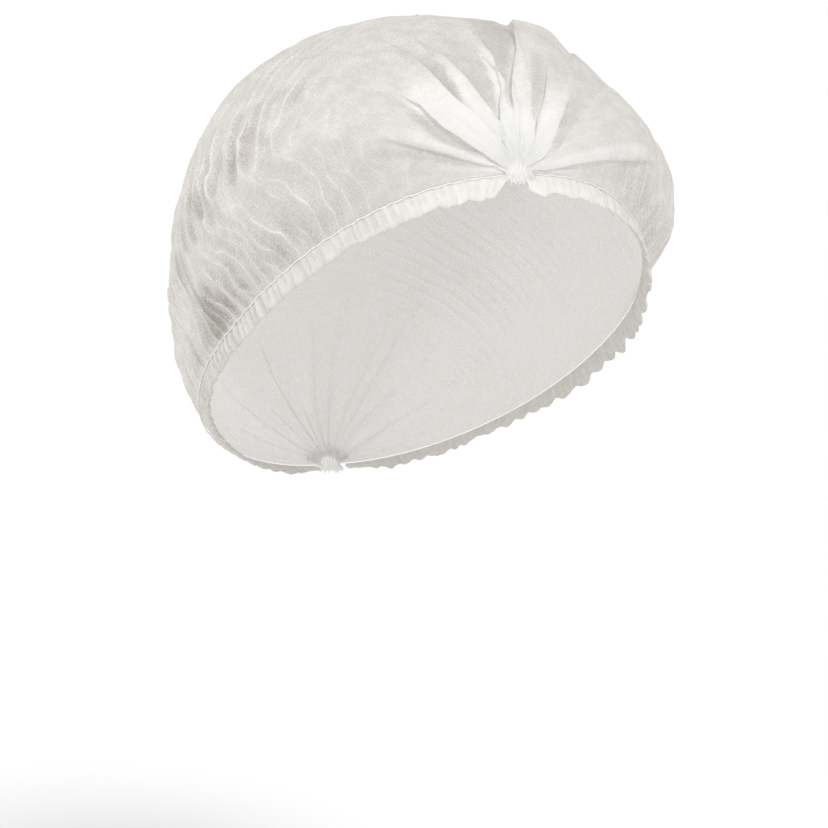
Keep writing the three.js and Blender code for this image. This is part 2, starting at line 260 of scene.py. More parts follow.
# The crown's grid. It is finer where the gathers are.
ROWS, COLUMNS = 400, 249
ROW_STEPS, COLUMN_STEPS = 2001, 1501
POLE_GAP = 0.011
ROW_DENSITY = np.array(
    [(0, 0.6), (0.1, 0.6), (0.2, 1.1), (0.55, 1.4), (0.7, 1.2), (0.9, 0.7), (1, 0.6)]
)
CUT_LENGTH, CUT_WIDTH = 0.46, 0.27

HEM_ROWS, HEM_RING = 620, 28
PUCKER_SPACING = 3.6
RUFFLE_SPACING = 8.5
# How firmly the elastic gathers the hem: share of the way to the nape, firmness.
HEM_FIRMNESS = np.array(
    [(0, 0.3), (0.08, 0.4), (0.22, 0.6), (0.34, 1), (0.62, 1), (0.8, 0.8), (1, 0.5)]
)
CORD_ROWS, CORD_RING = 1500, 8
CORD_RADIUS = 0.28
STITCH_SPACING = 2.3
CORD_WAVE = 7.5
KNOT_STEPS, KNOT_WIDE, KNOT_PLEATS = 44, 241, 9
KNOT_REACH, KNOT_DROP, KNOT_HALF_WIDTH = 9.0, 3.2, 6.3
PUFFED = 0.05


def smooth(t):
    t = np.clip(t, 0, 1)
    return t * t * (3 - 2 * t)


def hermite(xs, ys, x):
    """Cubic through the points, with each slope taken from its neighbours."""
    xs = np.asarray(xs, float)
    last = len(xs) - 1
    slopes = [
        (ys[min(j + 1, last)] - ys[max(j - 1, 0)]) / (xs[min(j + 1, last)] - xs[max(j - 1, 0)])
        for j in range(last + 1)
    ]
    k = np.clip(np.searchsorted(xs, x, side="right") - 1, 0, last - 1)
    shape = np.shape(x)
    values = np.stack([np.broadcast_to(y, shape) for y in ys])
    slopes = np.stack([np.broadcast_to(s, shape) for s in slopes])

    def pick(table, index):
        return np.take_along_axis(table, index[None], 0)[0]

    h = xs[k + 1] - xs[k]
    t = (x - xs[k]) / h
    return (
        pick(values, k) * (2 * t**3 - 3 * t**2 + 1)
        + pick(slopes, k) * h * (t**3 - 2 * t**2 + t)
        + pick(values, k + 1) * (3 * t**2 - 2 * t**3)
        + pick(slopes, k + 1) * h * (t**3 - t**2)
    )


def field(seed, u, v, cells_u, cells_v):
    """Smooth seeded noise from -1 to 1 over u and v, which run from 0 to 1."""
    knots = np.random.default_rng(seed).uniform(-1, 1, (cells_u + 2, cells_v + 2))
    x = np.clip(u, 0, 1) * cells_u
    y = np.clip(v, 0, 1) * cells_v
    i = x.astype(int)
    j = y.astype(int)
    s = smooth(x - i)
    t = smooth(y - j)
    low = knots[i, j] * (1 - s) + knots[i + 1, j] * s
    high = knots[i, j + 1] * (1 - s) + knots[i + 1, j + 1] * s
    return low * (1 - t) + high * t


def fullness(along, across):
    up = np.minimum(across, 1 - across)
    values = [hermite(FULLNESS[:, 0], list(FULLNESS[:, j]), along) for j in (1, 2, 3, 4)]
    return hermite(FULLNESS_AT + [1 - FULLNESS_AT[2]], values + [values[2]], up)


def dome(along, across):
    theta, phi = np.pi * along, np.pi * across
    return 1 / np.sqrt(
        (np.cos(theta) / RIM_HALF_LENGTH) ** 2
        + (np.sin(theta) * np.cos(phi) / RIM_HALF_WIDTH) ** 2
        + (np.sin(theta) * np.sin(phi) / CROWN_HEIGHT) ** 2
    )


def dents(along, across):
    total = 0
    for at_along, at_across, spread, lift in DENTS:
        sideways = (across - at_across) * math.sin(math.pi * at_along)
        away = np.hypot(along - at_along, sideways) / spread
        total = total + lift * np.exp(-away * away / 2)
    return PUFF * total


def pleat_shown(distance, reach):
    """How much of a pleat there is at a distance from its weld."""
    return smooth(distance / PLEAT_RISE) * smooth((reach + PLEAT_RISE - distance) / reach)


def soft_pleats(along, across):
    """The broad pleats, as in the solids."""
    total = 0
    marks = [0.0] + [p[0] for p in PLEATS] + [1.0]
    for k, (centre, lift, front, rear) in enumerate(PLEATS):
        gap = np.where(across < centre, centre - marks[k], marks[k + 2] - centre)
        crest = np.cos(np.clip((across - centre) / gap, -1, 1) * np.pi) * 0.5 + 0.5
        raised = lift * (1.6 * crest - 0.55 * (crest > 0))
        total = total + raised * (pleat_shown(along, front) + pleat_shown(1 - along, rear))
    edge = smooth(np.minimum(across, 1 - across) / FULLNESS_AT[1])
    return 0.75 * PLEAT_LIFT * total * edge


def base_radius(along, across):
    stands = PUFF * fullness(along, across)
    return dome(along, across) + stands + dents(along, across) * smooth(stands / (PUFF / 2))


def at_radius(along, across, radius):
    theta, phi = np.pi * along, np.pi * across
    return np.stack(
        [
            -radius * np.sin(theta) * np.cos(phi),
            -radius * np.cos(theta),
            radius * np.sin(theta) * np.sin(phi),
        ],
        -1,
    )


def bent(points):
    points = points.copy()
    share = np.clip(-points[..., 1] / RIM_HALF_LENGTH, -1, 1)
    rise = HEM_HEIGHT * hermite(BAND[:, 0], list(BAND[:, 1]), np.arccos(share) / np.pi)
    points[..., 2] += rise * (1 - smooth(points[..., 2] / CROWN_HEIGHT))
    return points


def to_world(points):
    y, z = points[..., 1], points[..., 2]
    return MM * np.stack(
        [
            points[..., 0],
            y * math.cos(RIM_TILT) + z * math.sin(RIM_TILT),
            -y * math.sin(RIM_TILT) + z * math.cos(RIM_TILT),
        ],
        -1,
    )


def rim_place(side, share):
    """A point of the rim and the way out from it, at each share of the way from forehead to nape."""
    clear = math.asin((WELD_HALF_WIDTH + SEAM_GAP) / RIM_HALF_WIDTH)
    turn = clear + (math.pi - 2 * clear) * share
    zero = np.zeros_like(turn)
    point = np.stack(
        [side * RIM_HALF_WIDTH * np.sin(turn), -RIM_HALF_LENGTH * np.cos(turn), zero], -1
    )
    out = np.stack(
        [side * np.sin(turn) / RIM_HALF_WIDTH, -np.cos(turn) / RIM_HALF_LENGTH, zero], -1
    )
    out /= np.linalg.norm(out, axis=-1, keepdims=True)
    return bent(point), out


def make_piece(name, points, quads, material, layers_and_shading, flat):
    """A mesh piece that rides on the root.

    The named numbers at the points give the cloth's layers and its painted light and shade, and flat
    gives each point's place in the flat cloth.
    """
    mesh = bpy.data.meshes.new(name)
    points = points.reshape(-1, 3)
    mesh.vertices.add(len(points))
    mesh.vertices.foreach_set("co", points.astype(np.float32).ravel())
    mesh.loops.add(quads.size)
    mesh.loops.foreach_set("vertex_index", quads.astype(np.int32).ravel())
    mesh.polygons.add(len(quads))
    mesh.polygons.foreach_set("loop_start", np.arange(0, quads.size, 4, dtype=np.int32))
    mesh.update(calc_edges=True)
    mesh.shade_smooth()
    for label, values in layers_and_shading:
        layer = mesh.attributes.new(label, "FLOAT", "POINT")
        layer.data.foreach_set("value", values.astype(np.float32).ravel())
    chart = mesh.uv_layers.new(name="cloth")
    chart.data.foreach_set("uv", flat.reshape(-1, 2)[quads.ravel()].astype(np.float32).ravel())
    mesh.validate()
    piece = bpy.data.objects.new(name, mesh)
    bpy.context.scene.collection.objects.link(piece)
    mesh.materials.append(material)
    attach(piece, "root")
    return piece


def grid_quads(rows, columns, closed=False, flip=False):
    """The faces of a grid of points. A closed one joins its last column to the first."""
    steps = columns if closed else columns - 1
    i, j = np.meshgrid(np.arange(rows - 1), np.arange(steps), indexing="ij")
    k = (j + 1) % columns
    corners = (i * columns + j, (i + 1) * columns + j, (i + 1) * columns + k, i * columns + k)
    quads = np.stack(corners, -1).reshape(-1, 4)
    return quads[:, ::-1] if flip else quads


# Materials

FINE_SHIFT = 0.9
# Width and gain of the painted highlight lines on the ridge crests, and shift and gain of the painted
# shade in their hollows.
CREST_WIDTH, CREST_GAIN = 0.06, 1.5
FINE_CREST_WIDTH, FINE_CREST_GAIN = 0.09, 0.6
HOLLOW_SHIFT, HOLLOW_GAIN = 0.8, 1.05
# Texture scales, for places in metres of cloth.
FIBRE_SCALES = (620, 760, 330)
CLUMP_SCALE, GRAIN_SCALE, BOND_SCALE = 95, 1500, 560
TWIST_SCALE = 900
# How crests with a painted highlight, thick cloth with painted light, and thin cloth with painted shade
# change the shade and the cover.
MEAN_SHADE = 0.69
CREST_HIGHLIGHT_GAIN, CREST_COVER = 0.34, 0.22
THICK_AND_LIGHT_GAIN, THICK_COVER = 0.34, 0.3
THIN_AND_SHADE_GAIN = -0.38
MOST_COVER = 0.985


class Web:
    """Short ways to add nodes to one material."""

    def __init__(self, name):
        self.material = bpy.data.materials.new(name)
        self.material.use_nodes = True
        self.nodes = self.material.node_tree.nodes
        self.links = self.material.node_tree.links
        self.nodes.clear()

    def add(self, kind, **settings):
        node = self.nodes.new(kind)
        for key, value in settings.items():
            setattr(node, key, value)
        return node

    def put(self, socket, value):
        if isinstance(value, bpy.types.NodeSocket):
            self.links.new(value, socket)
        else:
            socket.default_value = value

    def sum(self, operation, *values, clamp=False):
        node = self.add("ShaderNodeMath", operation=operation, use_clamp=clamp)
        for socket, value in zip(node.inputs, values):
            self.put(socket, value)
        return node.outputs[0]

    def span(self, value, low, high, to_low, to_high):
        node = self.add("ShaderNodeMapRange", interpolation_type="SMOOTHSTEP")
        for socket, number in zip(node.inputs, (value, low, high, to_low, to_high)):
            self.put(socket, number)
        return node.outputs[0]

    def noise(self, vector, scale, detail=2.0, rough=0.5, warp=0.0):
        node = self.add("ShaderNodeTexNoise")
        self.put(node.inputs["Vector"], vector)
        node.inputs["Scale"].default_value = scale
        node.inputs["Detail"].default_value = detail
        node.inputs["Roughness"].default_value = rough
        node.inputs["Distortion"].default_value = warp
        return node.outputs["Fac"]

    def stretched(self, vector, turn, scale):
        node = self.add("ShaderNodeMapping")
        self.put(node.inputs["Vector"], vector)
        node.inputs["Rotation"].default_value = (0, 0, turn)
        node.inputs["Scale"].default_value = scale
        return node.outputs[0]

    def mark(self, name):
        return self.add("ShaderNodeAttribute", attribute_name=name).outputs["Fac"]

    def mixed(self, share, low, high):
        """A colour between two. Each is a colour or a socket that gives one."""
        node = self.add("ShaderNodeMix", data_type="RGBA")
        self.put(node.inputs["Factor"], share)
        for socket, colour in ((node.inputs[6], low), (node.inputs[7], high)):
            self.put(socket, (*colour, 1) if isinstance(colour, tuple) else colour)
        return node.outputs[2]

    def relief(self, height, strength, depth):
        node = self.add("ShaderNodeBump")
        node.inputs["Strength"].default_value = strength
        node.inputs["Distance"].default_value = depth
        self.put(node.inputs["Height"], height)
        return node.outputs[0]

    def done(self, shader):
        """The material, with its surface joined to the given shader."""
        out = self.add("ShaderNodeOutputMaterial")
        self.put(out.inputs["Surface"], shader)
        return self.material

    def peak(self, cosine, width):
        """1 where the cosine is 1, and a steep fall beside it."""
        return self.sum("EXPONENT", self.sum("MULTIPLY", self.sum("SUBTRACT", cosine, 1.0), 1 / width))

    def ridges(self, crest, layers_and_shading):
        """Painted highlight on the crests and painted shade in the hollows where the cloth is gathered,
        from the ridges' angle.
        """
        c, s = self.mark("ridge_c"), self.mark("ridge_s")
        main, fine = self.mark("ridge_main"), self.mark("ridge_fine")
        squares = self.sum("ADD", self.sum("MULTIPLY", c, c), self.sum("MULTIPLY", s, s))
        size = self.sum("MAXIMUM", self.sum("SQRT", squares), 0.05)
        c, s = self.sum("DIVIDE", c, size), self.sum("DIVIDE", s, size)
        double_c = self.sum("MULTIPLY_ADD", self.sum("MULTIPLY", c, c), 2.0, -1.0)
        double_s = self.sum("MULTIPLY", self.sum("MULTIPLY", c, s), 2.0)
        fine_c = self.turned(double_c, double_s, -FINE_SHIFT)
        lines = self.sum("MULTIPLY", self.peak(c, CREST_WIDTH), main)
        crest = self.sum("ADD", crest, self.sum("MULTIPLY", lines, CREST_GAIN))
        thin_lines = self.sum("MULTIPLY", self.peak(fine_c, FINE_CREST_WIDTH), fine)
        crest = self.sum("ADD", crest, self.sum("MULTIPLY", thin_lines, FINE_CREST_GAIN))
        hollow_shade = self.sum("MULTIPLY_ADD", self.turned(c, s, HOLLOW_SHIFT), -0.5, 0.5)
        hollow_shade = self.sum("MULTIPLY", hollow_shade, self.mark("ridge_hollow"))
        hollow_shade = self.sum("MULTIPLY", hollow_shade, HOLLOW_GAIN)
        return crest, self.sum("SUBTRACT", layers_and_shading, hollow_shade), hollow_shade

    def turned(self, c, s, angle):
        """The cosine of an angle less the given one, from its cosine and sine."""
        return self.sum("MULTIPLY_ADD", s, math.sin(angle), self.sum("MULTIPLY", c, math.cos(angle)))

    def strands(self, vector, scale, width, warp=0.6):
        """Thin wandering lines: 1 on a strand, 0 away from it."""
        value = self.noise(vector, scale, detail=1.0, rough=0.4, warp=warp)
        off = self.sum("ABSOLUTE", self.sum("SUBTRACT", value, 0.5))
        return self.span(off, 0.0, width, 1.0, 0.0)


def fibre_density(web, place):
    """How dense the cloth is: crossing fibres, clumps, fine grain and small bond points."""
    lay_a = web.strands(web.stretched(place, 0.5, (0.55, 1.6, 1)), FIBRE_SCALES[0], 0.045)
    lay_b = web.strands(web.stretched(place, -0.6, (0.5, 1.5, 1)), FIBRE_SCALES[1], 0.045)
    lay_c = web.strands(place, FIBRE_SCALES[2], 0.028, warp=1.2)
    fibres = web.sum("MAXIMUM", web.sum("MAXIMUM", lay_a, lay_b), lay_c)
    clumps = web.span(web.noise(place, CLUMP_SCALE, detail=3.0, rough=0.6), 0.32, 0.7, 0.0, 1.0)
    grain = web.noise(place, GRAIN_SCALE, detail=1.0)
    # Bond points on a slanted grid.
    dots = web.add("ShaderNodeTexVoronoi", feature="F1", voronoi_dimensions="2D")
    web.put(dots.inputs["Vector"], web.stretched(place, math.radians(45), (1, 1, 1)))
    dots.inputs["Scale"].default_value = BOND_SCALE
    dots.inputs["Randomness"].default_value = 0.18
    bonds = web.span(dots.outputs["Distance"], 0.16, 0.3, 1.0, 0.0)
    density = web.sum("ADD", web.sum("MULTIPLY", fibres, 0.4), web.sum("MULTIPLY", clumps, 0.5))
    density = web.sum("ADD", density, web.sum("MULTIPLY", grain, 0.2))
    return web.sum("SUBTRACT", density, web.sum("MULTIPLY", bonds, 0.2))


def cloth_material(name, low, high, dense, cover, spread, bump, through=0.32, ridged=False):
    """Nonwoven cloth, lit and shaded in places by painted highlight and painted shade from its marks.
    cover is how much it hides, and spread how much that varies.
    """
    web = Web(name)
    place = web.add("ShaderNodeUVMap", uv_map="cloth").outputs[0]
    density = fibre_density(web, place)
    alpha = web.sum("MULTIPLY_ADD", density, spread, cover - 0.5 * spread)
    crest, layers_and_shading, hollow_shade = web.mark("crest"), web.mark("layers_and_shading"), 0.0
    if ridged:
        crest, layers_and_shading, hollow_shade = web.ridges(crest, layers_and_shading)
    # In the hollows between the ridges the fibres stand out more.
    # Thin cloth and painted shade where the mark is below zero, thick cloth and painted light where it is
    # above.
    thinness_and_shade = web.sum("MAXIMUM", web.sum("MULTIPLY", layers_and_shading, -1.0), 0.0)
    thickness_and_light = web.sum("MAXIMUM", layers_and_shading, 0.0)
    contrast = web.sum("MULTIPLY_ADD", hollow_shade, 0.7, 0.26)
    contrast = web.sum("MULTIPLY_ADD", thickness_and_light, -0.2, contrast)
    contrast = web.sum("MAXIMUM", contrast, 0.06)
    shade = web.sum("MULTIPLY_ADD", web.sum("SUBTRACT", density, 0.5), contrast, MEAN_SHADE)
    alpha = web.sum("MULTIPLY_ADD", crest, CREST_COVER, alpha)
    alpha = web.sum("MULTIPLY_ADD", thickness_and_light, THICK_COVER, alpha)
    # Crests get a painted highlight; thick cloth and painted light make it lighter, thin cloth and
    # painted shade darker.
    shade = web.sum("MULTIPLY_ADD", crest, CREST_HIGHLIGHT_GAIN, shade)
    shade = web.sum("MULTIPLY_ADD", thickness_and_light, THICK_AND_LIGHT_GAIN, shade)
    shade = web.sum("MULTIPLY_ADD", thinness_and_shade, THIN_AND_SHADE_GAIN, shade)
    shade = web.sum("MAXIMUM", shade, 0.0, clamp=True)
    alpha = web.sum("MINIMUM", alpha, MOST_COVER, clamp=True)
    colour = web.mixed(shade, low, high)
    # Thick cloth and painted light also turn it towards the dense colour.
    colour = web.mixed(web.sum("MULTIPLY", thickness_and_light, 0.8, clamp=True), colour, dense)
    relief = web.relief(density, bump, 0.0004)
    front = web.add("ShaderNodeBsdfPrincipled")
    web.put(front.inputs["Base Color"], colour)
    front.inputs["Roughness"].default_value = 0.78
    front.inputs["Specular IOR Level"].default_value = 0.25
    front.inputs["Sheen Weight"].default_value = 0.12
    front.inputs["Sheen Roughness"].default_value = 0.5
    web.put(front.inputs["Normal"], relief)
    glow = web.add("ShaderNodeBsdfTranslucent")
    web.put(glow.inputs["Color"], colour)
    web.put(glow.inputs["Normal"], relief)
    lit = web.add("ShaderNodeMixShader")
    lit.inputs[0].default_value = through
    web.put(lit.inputs[1], front.outputs[0])
    web.put(lit.inputs[2], glow.outputs[0])
    clear = web.add("ShaderNodeBsdfTransparent")
    cloth = web.add("ShaderNodeMixShader")
    web.put(cloth.inputs[0], alpha)
    web.put(cloth.inputs[1], clear.outputs[0])
    web.put(cloth.inputs[2], lit.outputs[0])
    return web.done(cloth.outputs[0])


def thread_material(name, colour, worn):
    """Covered thread, with its colour worn in places along the twist."""
    web = Web(name)
    place = web.add("ShaderNodeUVMap", uv_map="cloth").outputs[0]
    twist = web.noise(web.stretched(place, 0.9, (1, 3, 1)), TWIST_SCALE, detail=2.0)
    shade = web.span(twist, 0.3, 0.7, 0.0, 1.0)
    front = web.add("ShaderNodeBsdfPrincipled")
    web.put(front.inputs["Base Color"], web.mixed(shade, worn, colour))
    front.inputs["Roughness"].default_value = 0.6
    web.put(front.inputs["Normal"], web.relief(twist, 0.4, 0.0003))
    return web.done(front.outputs[0])


cloth = cloth_material(
    "cap cloth",
    low=(0.285, 0.252, 0.21),
    high=(0.872, 0.856, 0.824),
    dense=(0.845, 0.841, 0.83),
    cover=0.74,
    spread=0.24,
    bump=0.4,
    ridged=True,
)
hem_cloth = cloth_material(
    "hem cloth",
    low=(0.46, 0.44, 0.41),
    high=(0.92, 0.9, 0.868),
    dense=(0.92, 0.905, 0.88),
    cover=0.84,
    spread=0.2,
    bump=0.5,
    through=0.3,
)
fused_cloth = cloth_material(
    "fused cloth",
    low=(0.66, 0.655, 0.64),
    high=(0.92, 0.915, 0.9),
    dense=(0.92, 0.916, 0.905),
    cover=0.93,
    spread=0.06,
    bump=0.4,
    through=0.45,
)
thread = thread_material("elastic thread", (0.85, 0.83, 0.795), (0.73, 0.71, 0.67))

# The crown


def fold_shifts(along, across):
    """The folds at the welds: how far the cloth moves across, how high it stands, and its layers."""
    move = np.zeros_like(along)
    height = np.zeros_like(along)
    dense = np.zeros_like(along)
    arc = np.pi * dome(along, across) * np.sin(np.pi * along)
    rows = [(1, along, *fold) for fold in FOLDS]
    for side, width, tall, reach, at in REAR_FOLDS:
        edge = [(0.02, 0.5 + (at - 0.5) * 0.9), (0.3, at)]
        rows.append((REAR_SWING, 1 - along, side, width, tall, REAR_START, reach, edge))
    for swing, away, side, width, tall, start, reach, edge in rows:
        places = np.array(edge)
        line = np.interp(away, places[:, 0], places[:, 1])
        sigma = np.minimum(width / np.maximum(arc, 1), 0.018)
        centre = line + side * FOLD_EDGE * sigma
        x = (across - centre) / sigma
        shown = smooth((away - start) / 0.03) * smooth((reach + 0.05 - away) / 0.09)
        move -= shown * swing * FOLD_SWING * sigma * x * np.exp(-x * x / 2)
        step = np.tanh(1.5 * x) * np.exp(-((x / 2.5) ** 2))
        near_pole = smooth(away / 0.06)
        height += side * shown * tall * step * (0.2 + 0.8 * near_pole)
        dense += swing * shown * np.exp(-x * x / 2.5)
    return move, height, dense


def streaks(along, across):
    """Light and dark bands with quite sharp edges: light for layered cloth and painted light, dark for
    thin cloth and painted shade.
    """
    arc = np.pi * dome(along, across) * np.sin(np.pi * along)
    total = np.zeros_like(along)
    for tone, row in STREAKS:
        row = np.array(row)
        middle = np.interp(along, row[:, 0], row[:, 1])
        half = np.interp(along, row[:, 0], row[:, 2])
        off = np.abs(across - middle) * arc
        inside = smooth((half + 0.7 - off) / 1.4)
        start, end = row[0, 0], row[-1, 0]
        inside = inside * smooth((along - start + STREAK_FADE / 2) / STREAK_FADE)
        inside = inside * smooth((end + STREAK_FADE - along) / (2 * STREAK_FADE))
        total += tone * inside
    return total


def near_hem(along):
    """Where the short gathers of the wearer's left side are, 0 to 1."""
    return smooth((along - 0.13) / 0.06) * smooth((0.4 - along) / 0.1)


def gathers(along, across):
    """Ridges above the elastic that merge as they rise: a move along, a height, a painted highlight on
    the crests, and marks for more painted highlight and shade.
    """
    up = np.minimum(across, 1 - across) * np.pi * dome(along, across) * np.sin(np.pi * along)
    on_left = across > 0.5
    place = along * RIM_ARC
    lean = np.interp(along, RIDGE_LEAN[:, 0], RIDGE_LEAN[:, 1])
    high = np.clip(up / 90, 0, 1)
    wander = 5.0 * field(11, along, high, 26, 7) + 2.0 * field(12, along, high, 60, 14)
    wander = np.where(on_left, 0.9 * wander + 3.0, wander)
    angle = 2 * np.pi * (place - lean * np.maximum(up - 3, 0) + wander * smooth(up / 14)) / RIDGE_SPACING
    angle = angle + 1.2 * field(22, along, high, 44, 7)
    strength = np.interp(along, RIDGE_STRENGTH[:, 0], RIDGE_STRENGTH[:, 1])
    # On the wearer's left they are short.
    short = 0.7 * near_hem(along) * smooth((15 - up) / 11)
    strength = np.where(on_left, 0.25 * strength + short, strength)
    strength = strength * (0.75 + 0.45 * field(13, along, high, 48, 7))
    move = np.zeros_like(along)
    height = np.zeros_like(along)
    shares = []
    for divide, tall, start, full, end, swing in RIDGE_SIZES:
        turn = angle / divide + (FINE_SHIFT if divide < 1 else 0)
        shown = strength * smooth((up - start) / (full - start)) * smooth((end - up) / (end - full))
        height += shown * tall * np.cos(turn)
        move -= shown * swing * RIDGE_SPACING * divide / (2 * np.pi) * np.sin(turn + 0.5) / RIM_ARC
        shares.append(shown)
    # A painted highlight along the crests of the big ridges.
    crest = 0.4 * shares[2] * np.exp(-(1 - np.cos(angle / 2)) / 0.05)
    # Painted shade in the hollows between the ridges, lower down.
    hollow_shade = shares[1] * smooth((26 - up) / 12) * (1 - 0.65 * smooth((along - 0.44) / 0.1))
    hollow_shade = hollow_shade * np.where(on_left, 0.45, 0.45 + 0.55 * smooth((along - 0.26) / 0.08))
    # Above them the cloth hangs in upright waves.
    curtain = smooth((up - 23) / 9) * smooth((68 - up) / 26)
    curtain = curtain * smooth((along - 0.2) / 0.06) * smooth((0.46 - along) / 0.06)
    curtain = curtain * (0.7 + 0.5 * field(35, along, across, 16, 12)) * np.where(on_left, 0.5, 1.0)
    curtain_angle = 2 * np.pi * along * TOP_ARC / CURTAIN_SPACING
    curtain_angle = curtain_angle + 2.0 * field(36, along, across, 20, 16)
    height += CURTAIN_HEIGHT * curtain * np.cos(curtain_angle)
    above = up > CURTAIN_FROM
    angle = np.where(above, curtain_angle, angle)
    # The marks give the painted highlight on crests and the painted shade in hollows, on the waves above
    # too.
    marks = {
        "ridge_c": np.cos(angle),
        "ridge_s": np.sin(angle),
        "ridge_main": np.where(above, CURTAIN_CREST * curtain, shares[1]),
        "ridge_hollow": np.where(above, CURTAIN_HOLLOW * curtain, hollow_shade),
        "ridge_fine": shares[0],
    }
    return move, height, crest, marks


def crown_points(along, across):
    """The crown's points, from all its relief, and their marks for the cloth."""
    fold_move, fold_height, dense = fold_shifts(along, across)
    move, gather_height, crest, marks = gathers(along, across)
    at = np.clip(across + fold_move, 0, 1)
    on = np.clip(along + move, 0.004, 0.996)
    arc_up = np.minimum(across, 1 - across)
    # Crimps run over the crown, each at one place along.
    patch = np.clip(0.5 + 0.9 * field(31, along, across, 14, 9), 0, 1)
    crimp_shown = patch * smooth((along - 0.2) / 0.12) * smooth((0.86 - along) / 0.12)
    crimp_shown = crimp_shown * smooth((arc_up - 0.05) / 0.08)
    crimp_angle = 2 * np.pi * along * TOP_ARC / CRIMP_SPACING
    crimp_angle = crimp_angle + 2.2 * field(32, along, across, 18, 16)
    crimp = CRIMP_HEIGHT * crimp_shown * np.cos(crimp_angle) * smooth((0.46 - arc_up) / 0.2)
    # Many thin pleats close to the welds.
    thin = 0
    for away, seed in ((along, 41), (1 - along, 42)):
        angle = 2 * np.pi * FINE_PLEATS * across + 2.5 * field(seed, across, away * 2, 14, 5)
        shown = smooth((away - 0.006) / 0.02) * smooth((0.16 - away) / 0.13)
        thin = thin + FINE_PLEAT_HEIGHT * shown * (np.abs(np.cos(angle / 2)) * 2 - 1.2)
    crumple = 0.55 * field(33, along, across, 30, 26) + 0.28 * field(34, along, across, 70, 60)
    crumple = crumple * smooth(np.minimum(along, 1 - along) / 0.08)
    edge = smooth(arc_up / 0.03)
    radius = base_radius(on, at) + soft_pleats(along, across) * 0.8
    radius = radius + fold_height * edge + gather_height + crimp + thin * edge + crumple * edge
    points = at_radius(on, at, radius)
    points[..., 2] += CROWN_RAISE
    points = to_world(bent(points))
    near = np.minimum(along, 1 - along)
    layers_and_shading = 0.8 * np.exp(-((near / 0.05) ** 2)) + 0.3 * np.exp(-((near / 0.12) ** 2))
    layers_and_shading = layers_and_shading + 0.15 * np.clip(dense, 0, 1.2) + streaks(on, at)
    # The folds run together in one thick place above the front weld.
    merged = smooth((0.1 - along) / 0.07) * smooth((across - 0.36) / 0.08) * smooth((0.78 - across) / 0.1)
    layers_and_shading = layers_and_shading + 0.8 * merged
    # Painted shade where the gathers are.
    layers_and_shading = layers_and_shading - 0.22 * marks["ridge_main"]
    # Painted shade towards the top of the crown.
    layers_and_shading = layers_and_shading - 0.23 * smooth((arc_up - 0.15) / 0.2) * smooth((along - 0.12) / 0.1)
    # Painted light low on the sides, from the middle to the back.
    layers_and_shading = layers_and_shading + 0.1 * smooth((along - 0.36) / 0.1) * smooth((0.3 - arc_up) / 0.1)
    # A painted highlight along the crimps' crests, and painted shade between them.
    crest = crest + crimp_shown * (0.7 * np.exp(-(1 - np.cos(crimp_angle)) / 0.15) - 0.15)
    marks["crest"] = np.clip(crest, -0.2, 1.3)
    marks["layers_and_shading"] = np.clip(layers_and_shading, -1, 1.3)
    return points, marks


def spread_places(count, fine, density):
    """count places over 0 to 1, closer together where density is high."""
    total = np.concatenate([[0], np.cumsum((density[1:] + density[:-1]) / 2 * np.diff(fine))])
    return np.interp(np.linspace(0, total[-1], count), total, fine)


def make_crown():
    fine = np.linspace(POLE_GAP, 1 - POLE_GAP, ROW_STEPS)
    wanted = np.interp(fine, ROW_DENSITY[:, 0], ROW_DENSITY[:, 1])
    alongs = spread_places(ROWS, fine, wanted)
    fine = np.linspace(0, 1, COLUMN_STEPS)
    grid_along, grid_across = np.meshgrid(alongs, fine, indexing="ij")
    dense = fold_shifts(grid_along, grid_across)[2]
    by_hem = np.exp(-np.minimum(grid_across, 1 - grid_across) / 0.05)
    density = 1 + 2.2 * np.clip(dense, 0, 1.4) + 1.5 * by_hem
    across = np.stack([spread_places(COLUMNS, fine, row) for row in density])
    along = np.broadcast_to(alongs[:, None], across.shape).copy()
    points, marks = crown_points(along, across)
    flat = np.stack([along * CUT_LENGTH, across * CUT_WIDTH], -1)
    piece = make_piece(
        "crown_cloth",
        points,
        grid_quads(ROWS, COLUMNS, flip=True),
        cloth,
        list(marks.items()),
        flat,
    )
    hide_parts("crown")
    return piece


